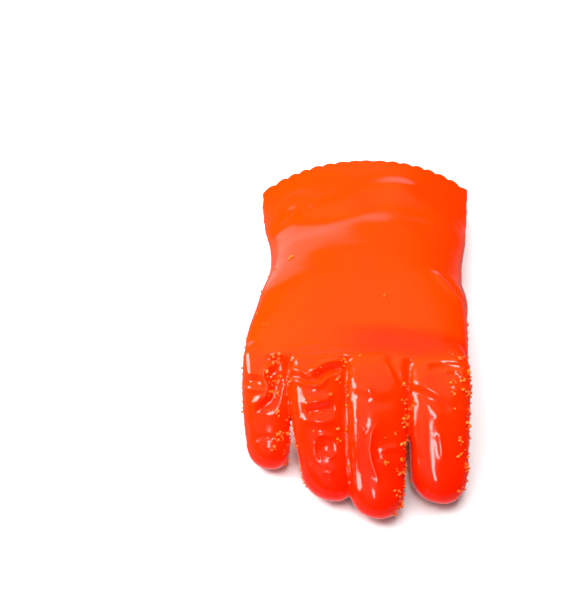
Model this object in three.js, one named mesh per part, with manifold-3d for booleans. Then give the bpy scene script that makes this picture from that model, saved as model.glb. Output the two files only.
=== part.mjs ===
// A PVC coated work glove for the right hand, lying palm down with its thumb folded under the palm.
// Millimetres, +Z up. The fingers point to -Y, the open cuff to +Y, and the surface it lies on is Z = 0.
import * as THREE from 'three';
import { LoftGeometry } from 'three/addons/geometries/LoftGeometry.js';
import { mergeVertices } from 'three/addons/utils/BufferGeometryUtils.js';
import Module from 'manifold-3d';

const wasm = await Module();
wasm.setup();

// Driving dimensions
const handLength = 200; // from the finger crease to the rim of the cuff
const knuckleWidth = 125;
const wristWidth = 115;
const cuffWidth = 138; // between the side folds at the rim
const knuckleHeight = 50; // top of the back above the surface
const palmClearance = 28; // underside of the palm above the surface
const wristHeight = 42;
const cuffHeight = 37;
const cuffFoldHeight = 13; // the side folds of the cuff above the surface
const fingerReach = 78; // the middle finger, past the crease
const fingerThickness = 23;
const thumbWidth = 32;
const thumbThickness = 21;
const thumbLift = 3; // the thumb's underside above the surface
const wall = 2;
const webReach = 4; // the webs between the fingers, past the crease
const fingerFold = 6; // the folds where the fingers meet the hand, past the crease
const thumbFold = 40; // the fold where the thumb leaves the palm, behind the crease
const seamGap = 0.3; // between the hand, the fingers and the thumb
const coatThickness = 1.2;
const coatGap = 0.3;
const coatHeel = 0.42; // the coat's edge at the heel of the hand, as a share of handLength
const coatFingerEnd = 0.93; // its ends on the fingers and the thumb, as shares of their straight stretches
const coatThumbStart = 0.36;
const coatThumbEnd = 0.9;
const coatSide = 16; // degrees below the side edges at which the coat starts
const scallopPitch = 10;
const scallopDepth = 1.4;

// The back, palm and cuff: one row for each section, placed by its share of handLength from the crease.
// left and right are the side folds, edge their mean height, and tilt how far the right one is above it.
// square and round are the fullness of the oval, and sideWall thickens the wall at a sharp fold.
const bodyAt = smoothTable(
  ['along', 'left', 'right', 'edge', 'tilt', 'top', 'under', 'square', 'round', 'sideWall'],
  [
    [0.0, 0.49 * knuckleWidth, 0.48 * knuckleWidth, 0.74 * knuckleHeight, 0.0, 0.985 * knuckleHeight,
      palmClearance, 3.1, 2.3, 1.0],
    [0.095, 0.487 * knuckleWidth, 0.49 * knuckleWidth, 0.75 * knuckleHeight, 0.0, 1.03 * knuckleHeight,
      palmClearance, 2.9, 2.2, 1.0],
    [0.22, 0.466 * knuckleWidth, 0.496 * knuckleWidth, 0.73 * knuckleHeight, 0.0, 1.045 * knuckleHeight,
      0.97 * palmClearance, 2.7, 2.2, 1.0],
    [0.315, 0.452 * knuckleWidth, 0.5 * knuckleWidth, 0.68 * knuckleHeight, 0.0, 1.03 * knuckleHeight,
      0.82 * palmClearance, 2.6, 2.1, 1.0],
    [0.42, 0.472 * wristWidth, 0.54 * wristWidth, 0.62 * wristHeight, 0.0, 1.18 * wristHeight,
      0.46 * palmClearance, 2.5, 2.0, 1.05],
    [0.525, 0.468 * wristWidth, 0.544 * wristWidth, 0.52 * wristHeight, 0.02 * wristHeight,
      1.11 * wristHeight, 0.16 * palmClearance, 2.4, 1.85, 1.15],
    [0.63, 0.483 * wristWidth, 0.566 * wristWidth, 0.46 * wristHeight, 0.05 * wristHeight,
      1.02 * wristHeight, -0.02 * palmClearance, 2.3, 1.6, 1.3],
    [0.765, 0.437 * cuffWidth, 0.485 * cuffWidth, 1.15 * cuffFoldHeight, 0.2 * cuffFoldHeight,
      1.07 * cuffHeight, -0.04 * palmClearance, 2.3, 1.3, 1.5],
    [0.9, 0.464 * cuffWidth, 0.502 * cuffWidth, 1.03 * cuffFoldHeight, 0.28 * cuffFoldHeight,
      1.01 * cuffHeight, -0.04 * palmClearance, 2.3, 1.1, 1.7],
    [1.0, 0.48 * cuffWidth, 0.512 * cuffWidth, cuffFoldHeight, 0.28 * cuffFoldHeight,
      cuffHeight, -0.04 * palmClearance, 2.3, 1.0, 1.8],
  ],
);

// Shallow hollows pressed into the back: x, length and width as shares of cuffWidth, y of handLength and
// depth of cuffHeight. turn is in degrees. A row with a negative depth is a raised fold.
const backDents = namedRows(
  ['x', 'y', 'length', 'width', 'turn', 'depth'],
  [
    [-0.13, 0.73, 0.075, 0.05, 20, 0.07],
    [0.28, 0.74, 0.1, 0.045, -12, 0.08],
    [0.42, 0.7, 0.06, 0.04, -50, 0.08],
    [-0.34, 0.715, 0.05, 0.04, 30, 0.06],
    [0.4, 0.3, 0.1, 0.03, -60, 0.07],
    [0.17, 0.04, 0.3, 0.05, 0, 0.025],
  ],
);

// The four fingers: reach as a share of fingerReach, the other columns as shares of knuckleWidth,
// with rootLift as the height of the root's middle in shares of knuckleHeight.
const fingers = namedRows(
  ['name', 'reach', 'width', 'rootX', 'tipX', 'rootLift', 'thick'],
  [
    ['little', 0.595, 0.207, -0.388, -0.346, 0.72, 0.92],
    ['ring', 0.87, 0.243, -0.162, -0.07, 0.755, 1.0],
    ['middle', 1.0, 0.255, 0.093, 0.112, 0.765, 1.0],
    ['index', 0.845, 0.263, 0.357, 0.371, 0.75, 1.0],
  ],
);

// Every finger's form along its length, from its root inside the hand to its tip.
// lift goes from the root's height to a finger lying on the surface, and lean from rootX to tipX.
// roll, in degrees, sets its right side down, and square is the fullness of its oval.
const fingerAt = smoothTable(
  ['along', 'wide', 'thick', 'lift', 'lean', 'roll', 'square'],
  [
    [0.0, 0.8, 0.76, 1.02, 0.0, 0, 4.0],
    [0.16, 0.98, 0.97, 1.0, 0.0, 1, 4.6],
    [0.3, 1.01, 1.0, 0.9, 0.04, 5, 3.6],
    [0.45, 0.99, 1.02, 0.69, 0.16, 9, 2.8],
    [0.6, 0.96, 1.0, 0.43, 0.35, 10, 2.6],
    [0.74, 0.91, 0.97, 0.15, 0.56, 10, 2.5],
    [0.86, 0.88, 0.93, -0.03, 0.76, 10, 2.4],
    [1.0, 0.86, 0.9, -0.07, 1.0, 10, 2.4],
  ],
);
const fingerRootInset = 14; // how far a finger's root reaches into the hand
const thumbSquare = 2.5;
const noseShare = 0.46; // length of the rounded tip as a share of the finger's width

// Folds and hollows of the fingers, in the finger's own frame: along as a share of its reach, across as a
// share of its half width, length and width as shares of its width, and depth as a share of fingerThickness.
const fingerDents = namedRows(
  ['finger', 'along', 'across', 'length', 'width', 'turn', 'depth'],
  [
    ['little', 0.56, 0.45, 0.34, 0.13, 80, 0.12],
    ['little', 0.5, 0.05, 0.36, 0.1, 80, -0.05],
    ['ring', 0.27, -0.35, 0.3, 0.1, 0, 0.09],
    ['ring', 0.2, 0.45, 0.24, 0.1, 20, 0.09],
    ['ring', 0.51, 0.15, 0.36, 0.12, 0, 0.1],
    ['ring', 0.77, 0.05, 0.26, 0.2, 0, 0.07],
    ['middle', 0.14, 0.5, 0.22, 0.14, 60, 0.12],
    ['middle', 0.63, 0.3, 0.36, 0.18, 90, 0.11],
    ['middle', 0.34, 0.0, 0.55, 0.09, 0, -0.04],
    ['index', 0.25, 0.0, 0.36, 0.12, 10, 0.08],
    ['index', 0.4, 0.45, 0.34, 0.07, -34, 0.06],
    ['index', 0.36, -0.2, 0.4, 0.09, 0, -0.04],
  ],
);

// The thumb: x as a share of knuckleWidth, y of handLength, lift from lying flat to its root's height.
const thumbAt = smoothTable(
  ['along', 'x', 'y', 'lift', 'wide', 'thick'],
  [
    [0.0, 0.345, 0.47, 1.0, 0.95, 0.75],
    [0.25, 0.365, 0.36, 0.55, 1.22, 1.0],
    [0.5, 0.31, 0.235, 0.12, 1.12, 1.0],
    [0.75, 0.21, 0.105, 0.0, 1.02, 1.0],
    [1.0, 0.12, -0.01, 0.0, 0.95, 0.94],
  ],
);
const thumbRootHeight = 0.56 * knuckleHeight;
const headingStep = 0.02; // share of the thumb over which its direction is taken

// How finely the skins are stepped, outside and, where it doesn't show, inside
const bodySteps = { round: 42, along: 20, nose: 3 };
const fingerSteps = { round: 18, along: 12, nose: 4 };
const thumbSteps = { round: 16, along: 8, nose: 4 };
const insideSteps = {
  body: { round: 30, along: 15, nose: 2 },
  finger: { round: 14, along: 8, nose: 3 },
  thumb: { round: 12, along: 6, nose: 3 },
};
const outsideSteps = { body: bodySteps, finger: fingerSteps, thumb: thumbSteps };
const scallopSteps = 4;
const meshTolerance = 0.08;
const coatTolerance = 0.14;

function namedRows(columns, rows) {
  return rows.map((row) => Object.fromEntries(columns.map((column, index) => [column, row[index]])));
}

// Returns a function that gives the row at any share along the table, on smooth curves through its rows.
function smoothTable(columns, rows) {
  const places = rows.map((row) => row[0]);
  const names = columns.slice(1);
  const curve = new THREE.CubicInterpolant(places, rows.flatMap((row) => row.slice(1)), names.length);
  return (share) => {
    const values = curve.evaluate(THREE.MathUtils.clamp(share, places[0], places.at(-1)));
    return Object.fromEntries(names.map((name, index) => [name, values[index]]));
  };
}

// A point on a soft oval whose two edges lie level with its middle. grow moves it out, or in if negative.
function ovalPoint(oval, angle, grow) {
  const level = Math.cos(angle);
  const upright = Math.sin(angle);
  const half = oval.half + grow * oval.sideWall;
  const bulge = (upright > 0 ? oval.rise : oval.drop) + grow;
  const x = Math.sign(level) * half * Math.abs(level) ** (2 / oval.square);
  const z = Math.sign(upright) * bulge * Math.abs(upright) ** (2 / oval.round);
  return new THREE.Vector2(x, z);
}

// Where the glove rests it is pressed flat: the outside on the surface, the inside a wall above it.
function lowestHeight(grow) {
  return Math.max(0, -grow);
}

// Angles of a whole oval, or of its lower side alone for the coat.
function ringAngles(count, lowerOnly) {
  const angles = Array.from({ length: count }, (_, index) => (2 * Math.PI * index) / count);
  const side = THREE.MathUtils.degToRad(coatSide);
  return lowerOnly ? angles.filter((angle) => angle > Math.PI + side && angle < 2 * Math.PI - side) : angles;
}

// How deep a soft hollow is at x and y from its middle. size holds its half length, half width and depth.
function dentDepth(x, y, turnDegrees, size) {
  const turn = THREE.MathUtils.degToRad(turnDegrees);
  const u = x * Math.cos(turn) + y * Math.sin(turn);
  const v = y * Math.cos(turn) - x * Math.sin(turn);
  return size.depth * Math.exp(-((u / size.length) ** 2) - (v / size.width) ** 2);
}

// Shares of the straight stretch, then a quarter turn round the end that stops short of its pole.
// from and to keep only a stretch of it.
function stations(steps, from, to) {
  const straight = Array.from({ length: steps.along + 1 }, (_, index) => ({
    share: index / steps.along,
    turn: 0,
  }));
  const lastTurn = THREE.MathUtils.degToRad(80);
  const nose = Array.from({ length: steps.nose }, (_, index) => ({
    share: 1,
    turn: (lastTurn * (index + 1)) / steps.nose,
  }));
  return straight.filter(({ share }) => share >= from && share <= to).concat(to === 1 ? nose : []);
}

function backDrop(x, y) {
  return backDents.reduce((sum, dent) => {
    const size = {
      length: dent.length * cuffWidth,
      width: dent.width * cuffWidth,
      depth: dent.depth * cuffHeight,
    };
    return sum + dentDepth(x - dent.x * cuffWidth, y - dent.y * handLength, dent.turn, size);
  }, 0);
}

// Rings of the back, palm and cuff, from past the rim to a blunt front edge between the finger roots.
function bodyRings({ grow = 0, steps = bodySteps, lowerOnly = false, from = 0, to = 1 }) {
  const angles = ringAngles(steps.round, lowerOnly);
  return stations(steps, from, to).map(({ share, turn }) => {
    const y = (1 - share) * (handLength + scallopPitch) - (webReach + grow) * Math.sin(turn);
    const row = bodyAt(y / handLength);
    const shrink = Math.cos(turn);
    const oval = {
      half: (row.left + row.right) / 2,
      rise: (row.top - row.edge + grow) * shrink - grow,
      drop: (row.edge - row.under + grow) * shrink - grow,
      square: row.square,
      round: row.round,
      sideWall: row.sideWall,
    };
    return angles.map((angle) => {
      const point = ovalPoint(oval, angle, grow);
      const x = (row.right - row.left) / 2 + point.x;
      const lean = row.tilt * (point.x / oval.half) ** (angle < Math.PI && angle > 0 ? 1 : 3);
      const z = row.edge + point.y + lean - backDrop(x, y) * Math.max(0, Math.sin(angle));
      return new THREE.Vector3(x, y, Math.max(z, lowestHeight(grow)));
    });
  });
}

// The same for a finger's own folds, along as a share of its reach and across as a share of its half width.
function fingerDrop(finger, along, across) {
  const reach = finger.reach * fingerReach;
  const width = finger.width * knuckleWidth;
  return fingerDents.filter((dent) => dent.finger === finger.name).reduce((sum, dent) => {
    const size = {
      length: dent.length * width,
      width: dent.width * width,
      depth: dent.depth * fingerThickness,
    };
    const x = ((across - dent.across) * width) / 2;
    return sum + dentDepth(x, (dent.along - along) * reach, dent.turn, size);
  }, 0);
}

function fingerRings(finger, { grow = 0, steps = fingerSteps, lowerOnly = false, from = 0, to = 1 }) {
  const width = finger.width * knuckleWidth;
  const noseLength = noseShare * width;
  const reach = finger.reach * fingerReach;
  const spine = fingerRootInset + reach - noseLength;
  const restHeight = (finger.thick * fingerThickness) / 2;
  const angles = ringAngles(steps.round, lowerOnly);
  return stations(steps, from, to).map(({ share, turn }) => {
    const y = fingerRootInset - share * spine - (noseLength + grow) * Math.sin(turn);
    const along = (fingerRootInset - y) / (fingerRootInset + reach);
    const row = fingerAt(along);
    const roll = THREE.MathUtils.degToRad(row.roll);
    const shrink = Math.cos(turn);
    const thickness = row.thick * finger.thick * fingerThickness;
    const oval = {
      half: ((row.wide * width) / 2 + grow) * shrink - grow,
      rise: (thickness / 2 + grow) * shrink - grow,
      drop: (thickness / 2 + grow) * shrink - grow,
      square: row.square,
      round: row.square,
      sideWall: 1,
    };
    const x = (finger.rootX + (finger.tipX - finger.rootX) * row.lean) * knuckleWidth;
    const z = restHeight + (finger.rootLift * knuckleHeight - restHeight) * row.lift;
    return angles.map((angle) => {
      const point = ovalPoint(oval, angle, grow);
      const dent = fingerDrop(finger, -y / reach, (2 * point.x) / width) * Math.max(0, Math.sin(angle));
      const rolledX = point.x * Math.cos(roll) + (point.y - dent) * Math.sin(roll);
      const rolledZ = (point.y - dent) * Math.cos(roll) - point.x * Math.sin(roll);
      return new THREE.Vector3(x + rolledX, y, Math.max(z + rolledZ, lowestHeight(grow)));
    });
  });
}

function thumbRings({ grow = 0, steps = thumbSteps, lowerOnly = false, from = 0, to = 1 }) {
  const noseLength = noseShare * thumbWidth;
  const angles = ringAngles(steps.round, lowerOnly);
  const restHeight = thumbLift + thumbThickness / 2;
  const middle = (share) => {
    const row = thumbAt(share);
    const lift = restHeight + (thumbRootHeight - restHeight) * row.lift;
    return new THREE.Vector3(row.x * knuckleWidth, row.y * handLength, lift);
  };
  const length = middle(0).distanceTo(middle(1));
  const lastShare = 1 - noseLength / length;
  return stations(steps, from, to).map(({ share, turn }) => {
    const along = share * lastShare + ((noseLength + grow) / length) * Math.sin(turn);
    const row = thumbAt(along);
    const shrink = Math.cos(turn);
    const heading = middle(along + headingStep).sub(middle(along - headingStep)).setZ(0).normalize();
    const side = new THREE.Vector3(-heading.y, heading.x, 0);
    const oval = {
      half: ((row.wide * thumbWidth) / 2 + grow) * shrink - grow,
      rise: ((row.thick * thumbThickness) / 2 + grow) * shrink - grow,
      drop: ((row.thick * thumbThickness) / 2 + grow) * shrink - grow,
      square: thumbSquare,
      round: thumbSquare,
      sideWall: 1,
    };
    return angles.map((angle) => {
      const point = ovalPoint(oval, angle, grow);
      return middle(along).addScaledVector(side, point.x).add(new THREE.Vector3(0, 0, point.y));
    });
  });
}

function solidFrom(source) {
  const geometry = new THREE.BufferGeometry().copy(source);
  geometry.deleteAttribute('normal');
  geometry.deleteAttribute('uv');
  const merged = mergeVertices(geometry, 0.001);
  return new wasm.Manifold(new wasm.Mesh({
    numProp: 3,
    vertProperties: merged.attributes.position.array,
    triVerts: Uint32Array.from(merged.index.array),
  }));
}

function skin(rings) {
  return solidFrom(new LoftGeometry(rings, { capStart: true, capEnd: true }));
}

// The whole glove as one filled form, grown or shrunk evenly.
function gloveForm(grow) {
  const steps = grow < 0 ? insideSteps : outsideSteps;
  const parts = [skin(bodyRings({ grow, steps: steps.body }))];
  fingers.forEach((finger) => parts.push(skin(fingerRings(finger, { grow, steps: steps.finger }))));
  parts.push(skin(thumbRings({ grow, steps: steps.thumb })));
  return parts.reduce((whole, part) => whole.add(part));
}

// A cutter past the rim whose near edge is a row of scallops bulging towards the open end.
function rimCutter() {
  const count = Math.ceil((cuffWidth + scallopPitch) / scallopPitch);
  const start = (-count * scallopPitch) / 2;
  const edge = [];
  for (let index = 0; index <= count * scallopSteps; index += 1) {
    const bulge = Math.sin((Math.PI * (index % scallopSteps)) / scallopSteps);
    const x = start + (index * scallopPitch) / scallopSteps;
    edge.push(new THREE.Vector2(x, handLength - scallopDepth * (1 - bulge)));
  }
  const outline = new THREE.Shape(edge);
  outline.lineTo(-start, handLength + 3 * scallopPitch);
  outline.lineTo(start, handLength + 3 * scallopPitch);
  const height = 3 * cuffHeight;
  const geometry = new THREE.ExtrudeGeometry(outline, { depth: height, bevelEnabled: false });
  const cuffMiddle = (bodyAt(1).right - bodyAt(1).left) / 2;
  geometry.translate(cuffMiddle, 0, -height / 3);
  return solidFrom(geometry);
}

// Everything further towards the fingertips than y.
function frontOf(y) {
  const size = 4 * handLength;
  const geometry = new THREE.BoxGeometry(size, size, size);
  geometry.translate(0, y - size / 2, 0);
  return solidFrom(geometry);
}

function meshFrom(solid, name, material) {
  const { vertProperties, triVerts } = solid.getMesh();
  const geometry = new THREE.BufferGeometry();
  geometry.setAttribute('position', new THREE.BufferAttribute(vertProperties, 3));
  geometry.setIndex(new THREE.BufferAttribute(triVerts, 1));
  geometry.computeVertexNormals();
  const mesh = new THREE.Mesh(geometry, material);
  mesh.name = name;
  return mesh;
}

const largest = (solid) => solid.decompose()
  .reduce((best, piece) => (piece.volume() > best.volume() ? piece : best));

// The back, palm and cuff as one shell, trimmed at the rim and open to the fingers and the thumb.
function handShell() {
  const thumbFront = skin(thumbRings({ grow: seamGap })).intersect(frontOf(thumbFold));
  return gloveForm(0)
    .subtract(gloveForm(-wall))
    .subtract(rimCutter())
    .subtract(frontOf(-fingerFold))
    .subtract(thumbFront)
    .simplify(meshTolerance);
}

// One finger from its fold to its closed tip, a gap clear of the hand and of the finger before it.
function fingerShell(finger, index) {
  const outside = skin(fingerRings(finger, {}));
  const inside = skin(fingerRings(finger, { grow: -wall, steps: insideSteps.finger }));
  const shell = outside.subtract(inside).intersect(frontOf(-fingerFold - seamGap));
  const before = fingers.slice(Math.max(0, index - 1), index);
  return before
    .reduce((solid, other) => solid.subtract(skin(fingerRings(other, { grow: seamGap }))), shell)
    .simplify(meshTolerance);
}

function thumbShell() {
  const outside = skin(thumbRings({}));
  const inside = skin(thumbRings({ grow: -wall, steps: insideSteps.thumb }));
  return outside.subtract(inside).intersect(frontOf(thumbFold - seamGap)).simplify(meshTolerance);
}

// The crumb coats: the lower side of the glove's own form, grown by the coat and cleared of the shell.
const coatGrown = { grow: coatGap + coatThickness, lowerOnly: true };

function palmGripCoat(clearOfShell) {
  const palm = skin(bodyRings({ ...coatGrown, from: 1 - coatHeel, to: 1 }));
  return fingers
    .map((finger) => skin(fingerRings(finger, { ...coatGrown, from: 0, to: coatFingerEnd })))
    .reduce((whole, part) => whole.add(part), palm)
    .subtract(clearOfShell);
}

function thumbGripCoat(clearOfShell) {
  return skin(thumbRings({ ...coatGrown, from: coatThumbStart, to: coatThumbEnd })).subtract(clearOfShell);
}

const pvc = new THREE.MeshStandardMaterial({ color: 0xfb4a06, roughness: 0.22, metalness: 0 });
const crumb = new THREE.MeshStandardMaterial({ color: 0xff6a12, roughness: 0.55, metalness: 0 });

const clearForm = gloveForm(coatGap);
const glove = new THREE.Group();
glove.add(meshFrom(handShell(), 'hand_shell', pvc));
fingers.forEach((finger, index) => {
  glove.add(meshFrom(largest(fingerShell(finger, index)), `${finger.name}_finger_shell`, pvc));
});
glove.add(meshFrom(thumbShell(), 'thumb_shell', pvc));
glove.add(meshFrom(largest(palmGripCoat(clearForm).simplify(coatTolerance)), 'palm_grip_coat', crumb));
glove.add(meshFrom(largest(thumbGripCoat(clearForm).simplify(coatTolerance)), 'thumb_grip_coat', crumb));

// The origin is the middle of the underside of the glove's box.
const box = new THREE.Box3().setFromObject(glove);
const centre = box.getCenter(new THREE.Vector3());
glove.position.set(-centre.x, -centre.y, -box.min.z);

export default glove;
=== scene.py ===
import bpy
import math
import numpy as np
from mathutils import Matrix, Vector, noise
from mathutils.bvhtree import BVHTree


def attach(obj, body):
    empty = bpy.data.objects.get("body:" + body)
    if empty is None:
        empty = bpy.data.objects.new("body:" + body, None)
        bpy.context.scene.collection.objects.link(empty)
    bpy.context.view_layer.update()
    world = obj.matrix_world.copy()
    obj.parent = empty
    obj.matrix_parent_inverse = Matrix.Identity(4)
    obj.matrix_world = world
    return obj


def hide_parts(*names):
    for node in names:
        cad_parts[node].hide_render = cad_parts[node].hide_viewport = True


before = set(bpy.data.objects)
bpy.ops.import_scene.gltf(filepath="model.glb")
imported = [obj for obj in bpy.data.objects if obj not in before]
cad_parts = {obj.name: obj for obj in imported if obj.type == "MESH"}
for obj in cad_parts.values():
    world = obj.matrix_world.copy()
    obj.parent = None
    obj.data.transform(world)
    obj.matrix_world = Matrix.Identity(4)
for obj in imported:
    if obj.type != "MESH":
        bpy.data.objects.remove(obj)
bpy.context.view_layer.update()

mm = 0.001

# The glove lies palm down, fingers towards -Y, cuff towards +Y. Its own plan has the middle of the
# finger crease at x = y = 0, and creasePlace says where that point is in the frame.
creasePlace = np.array([-2.22, -61.11, 0.0])

glove = {
    "handLength": 200.0,  # crease to rim
    "knuckleWidth": 125.0,
    "wristWidth": 115.0,
    "cuffWidth": 140.0,
    "knuckleHeight": 50.0,
    "palmClearance": 28.0,
    "wristHeight": 42.0,
    "cuffHeight": 38.5,
    "cuffFoldHeight": 13.0,
    "webReach": 4.0,
    "fingerReach": 78.0,
    "fingerThickness": 23.0,
    "fingerRootInset": 14.0,
    "thumbWidth": 32.0,
    "thumbThickness": 21.0,
    "thumbLift": 3.0,
    "noseShare": 0.46,  # rounded tip, as a share of the finger's width
    "wall": 2.0,
    "leastWall": 1.2,   # under the folds
    "fingerWall": 1.7,  # the fingers' wall, as a share of the wall, because their folds are deep
    "pastRim": 10.0,    # the form runs on past the rim before it is trimmed
    "thumbRoot": 0.56,  # height of the thumb's root, as a share of knuckleHeight
    "thumbFullness": 2.5,
    "thumbStep": 0.02,  # share of the thumb over which its direction is taken
    # sections of each tube: round it, along it and round its closed end
    "bodySections": (96, 70, 6),
    "fingerSections": (56, 40, 14),
    "thumbSections": (48, 30, 12),
    "innerSections": 0.5,  # the inside's, as a share of these
    "outerVoxel": 1.1,
    "innerVoxel": 2.4,
    "smoothing": (0.5, 5),  # strength and rounds after the remesh
    "rayHeight": 0.2,       # m above the surface, from where a plan point is dropped on the form
    "hiddenNormal": -0.45,  # z of the normals on the side that the crumbs and the wall hide
    "keptShare": 0.68,      # of the shell's faces
    "sharpest": 50.0,       # degrees between faces that are still shaded smooth
}


def srgb(code):
    # "RRGGBB" to linear red, green and blue
    parts = [int(code[i:i + 2], 16) / 255 for i in (0, 2, 4)]
    return [c / 12.92 if c <= 0.04045 else ((c + 0.055) / 1.055) ** 2.4 for c in parts]


def smoothTable(rows):
    # smooth curves through the rows, placed by their first column
    table = np.array(rows, float)
    places, values = table[:, 0], table[:, 1:]
    last = len(places) - 1

    def at(share):
        share = min(max(share, places[0]), places[-1])
        i = int(min(max(np.searchsorted(places, share, side="right"), 1), last))
        t0, t1 = places[i - 1], places[i]
        before = (i, t1) if i < 2 else (i - 2, places[i - 2])
        after = (i - 1, t0) if i == last else (i + 1, places[i + 1])
        wp = 0.5 * (t1 - t0) / (t0 - before[1])
        wn = 0.5 * (t1 - t0) / (after[1] - t1)
        p = (share - t0) / (t1 - t0)
        return (
            (-wp * p ** 3 + 2 * wp * p ** 2 - wp * p) * values[before[0]]
            + ((1 + wp) * p ** 3 + (-1.5 - 2 * wp) * p ** 2 + (-0.5 + wp) * p + 1) * values[i - 1]
            + ((-1 - wn) * p ** 3 + (1.5 + wn) * p ** 2 + 0.5 * p) * values[i]
            + (wn * p ** 3 - wn * p ** 2) * values[after[0]]
        )

    return at


def bodyTable():
    k, w, c = glove["knuckleWidth"], glove["wristWidth"], glove["cuffWidth"]
    kh, wh, ch = glove["knuckleHeight"], glove["wristHeight"], glove["cuffHeight"]
    under, fold = glove["palmClearance"], glove["cuffFoldHeight"]
    # share from the crease to the rim, left and right side folds, their height, how far the right one is
    # above the left, top, underside, fullness of the sides and of the top, and the side walls' thickness
    return smoothTable([
        [0.0, 0.49 * k, 0.48 * k, 0.74 * kh, 0.0, 0.985 * kh, under, 3.1, 2.3, 1.0],
        [0.095, 0.487 * k, 0.49 * k, 0.75 * kh, 0.0, 1.03 * kh, under, 2.9, 2.2, 1.0],
        [0.22, 0.466 * k, 0.496 * k, 0.73 * kh, 0.0, 1.045 * kh, 0.97 * under, 2.7, 2.2, 1.0],
        [0.315, 0.452 * k, 0.5 * k, 0.68 * kh, 0.0, 1.03 * kh, 0.82 * under, 2.6, 2.1, 1.0],
        [0.42, 0.472 * w, 0.54 * w, 0.62 * wh, 0.0, 1.18 * wh, 0.46 * under, 2.5, 2.0, 1.05],
        [0.525, 0.468 * w, 0.544 * w, 0.52 * wh, 0.02 * wh, 1.11 * wh, 0.16 * under, 2.4, 1.85, 1.15],
        [0.63, 0.483 * w, 0.566 * w, 0.46 * wh, 0.05 * wh, 1.02 * wh, -0.02 * under, 2.3, 1.6, 1.3],
        [0.765, 0.437 * c, 0.485 * c, 1.15 * fold, 0.2 * fold, 1.07 * ch, -0.04 * under, 2.3, 1.3, 1.5],
        [0.9, 0.464 * c, 0.502 * c, 1.03 * fold, 0.28 * fold, 1.01 * ch, -0.04 * under, 2.3, 1.1, 1.7],
        [1.0, 0.48 * c, 0.512 * c, fold, 0.28 * fold, ch, -0.04 * under, 2.3, 1.0, 1.8],
    ])


bodyAt = bodyTable()

# name, reach as a share of fingerReach, width, place across at the root and at the tip as shares of
# knuckleWidth, height of the root as a share of knuckleHeight, thickness as a share of fingerThickness
fingers = [
    ("little", 0.595, 0.207, -0.388, -0.346, 0.72, 0.92),
    ("ring", 0.87, 0.243, -0.162, -0.07, 0.755, 1.0),
    ("middle", 1.0, 0.255, 0.093, 0.112, 0.765, 1.0),
    ("index", 0.845, 0.263, 0.357, 0.371, 0.75, 1.0),
]

# share of a finger from its root, width, thickness, height, way from rootX to tipX, roll in degrees, fullness
fingerAt = smoothTable([
    [0.0, 0.8, 0.76, 1.02, 0.0, 0, 4.0],
    [0.16, 0.98, 0.97, 1.0, 0.0, 1, 4.6],
    [0.3, 1.01, 1.0, 0.9, 0.04, 5, 3.6],
    [0.45, 0.99, 1.02, 0.69, 0.16, 9, 2.8],
    [0.6, 0.96, 1.0, 0.43, 0.35, 10, 2.6],
    [0.74, 0.91, 0.97, 0.15, 0.56, 10, 2.5],
    [0.86, 0.88, 0.93, -0.03, 0.76, 10, 2.4],
    [1.0, 0.86, 0.9, -0.07, 1.0, 10, 2.4],
])

# share of the thumb from its root, x, y, height, width, thickness
thumbAt = smoothTable([
    [0.0, 0.345, 0.47, 1.0, 0.95, 0.75],
    [0.25, 0.365, 0.36, 0.55, 1.22, 1.0],
    [0.5, 0.31, 0.235, 0.12, 1.12, 1.0],
    [0.75, 0.21, 0.105, 0.0, 1.02, 1.0],
    [1.0, 0.12, -0.01, 0.0, 0.95, 0.94],
])


def ovalRing(angles, half, rise, drop, square, fullness):
    # a soft oval round its middle: square is how full its sides are, fullness how full its top and bottom are
    level, upright = np.cos(angles), np.sin(angles)
    x = np.sign(level) * half * np.abs(level) ** (2 / square)
    z = np.sign(upright) * np.where(upright > 0, rise, drop) * np.abs(upright) ** (2 / fullness)
    return x, z


def stations(along, nose):
    # shares of the straight stretch, then a quarter turn round the end, the pole last
    straight = [(i / along, 0.0) for i in range(along + 1)]
    return straight + [(1.0, 0.5 * math.pi * (i + 1) / nose) for i in range(nose)]


def bodyRings(grow, along, nose, angles):
    rings = []
    for share, turn in stations(along, nose):
        y = (1 - share) * (glove["handLength"] + glove["pastRim"])
        y -= (glove["webReach"] + grow) * math.sin(turn)
        left, right, edge, tilt, top, under, square, fullness, side = bodyAt(y / glove["handLength"])
        shrink = math.cos(turn)
        half = (left + right) / 2 + grow * side
        rise = (top - edge + grow) * shrink
        drop = (edge - under + grow) * shrink
        x, z = ovalRing(angles, half, rise, drop, square, fullness)
        lean = x / ((left + right) / 2)
        upper = (angles > 0) & (angles < math.pi)
        z = edge + z + tilt * np.where(upper, lean, lean ** 3)
        rings.append(np.stack([(right - left) / 2 + x, np.full_like(x, y), z], 1))
    return rings


def fingerRings(finger, grow, along, nose, angles):
    name, reachShare, widthShare, rootX, tipX, rootLift, thick = finger
    width = widthShare * glove["knuckleWidth"]
    noseLength = glove["noseShare"] * width
    reach = reachShare * glove["fingerReach"]
    inset = glove["fingerRootInset"]
    rest = thick * glove["fingerThickness"] / 2
    rings = []
    for share, turn in stations(along, nose):
        y = inset - share * (inset + reach - noseLength) - (noseLength + grow) * math.sin(turn)
        wide, thickShare, lift, lean, roll, square = fingerAt((inset - y) / (inset + reach))
        roll = math.radians(roll)
        shrink = math.cos(turn)
        half = (wide * width / 2 + grow) * shrink
        rise = (thickShare * thick * glove["fingerThickness"] / 2 + grow) * shrink
        px, pz = ovalRing(angles, half, rise, rise, square, square)
        x = (rootX + (tipX - rootX) * lean) * glove["knuckleWidth"]
        z = rest + (rootLift * glove["knuckleHeight"] - rest) * lift
        rings.append(np.stack([
            x + px * math.cos(roll) + pz * math.sin(roll),
            np.full_like(px, y),
            z + pz * math.cos(roll) - px * math.sin(roll),
        ], 1))
    return rings


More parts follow.
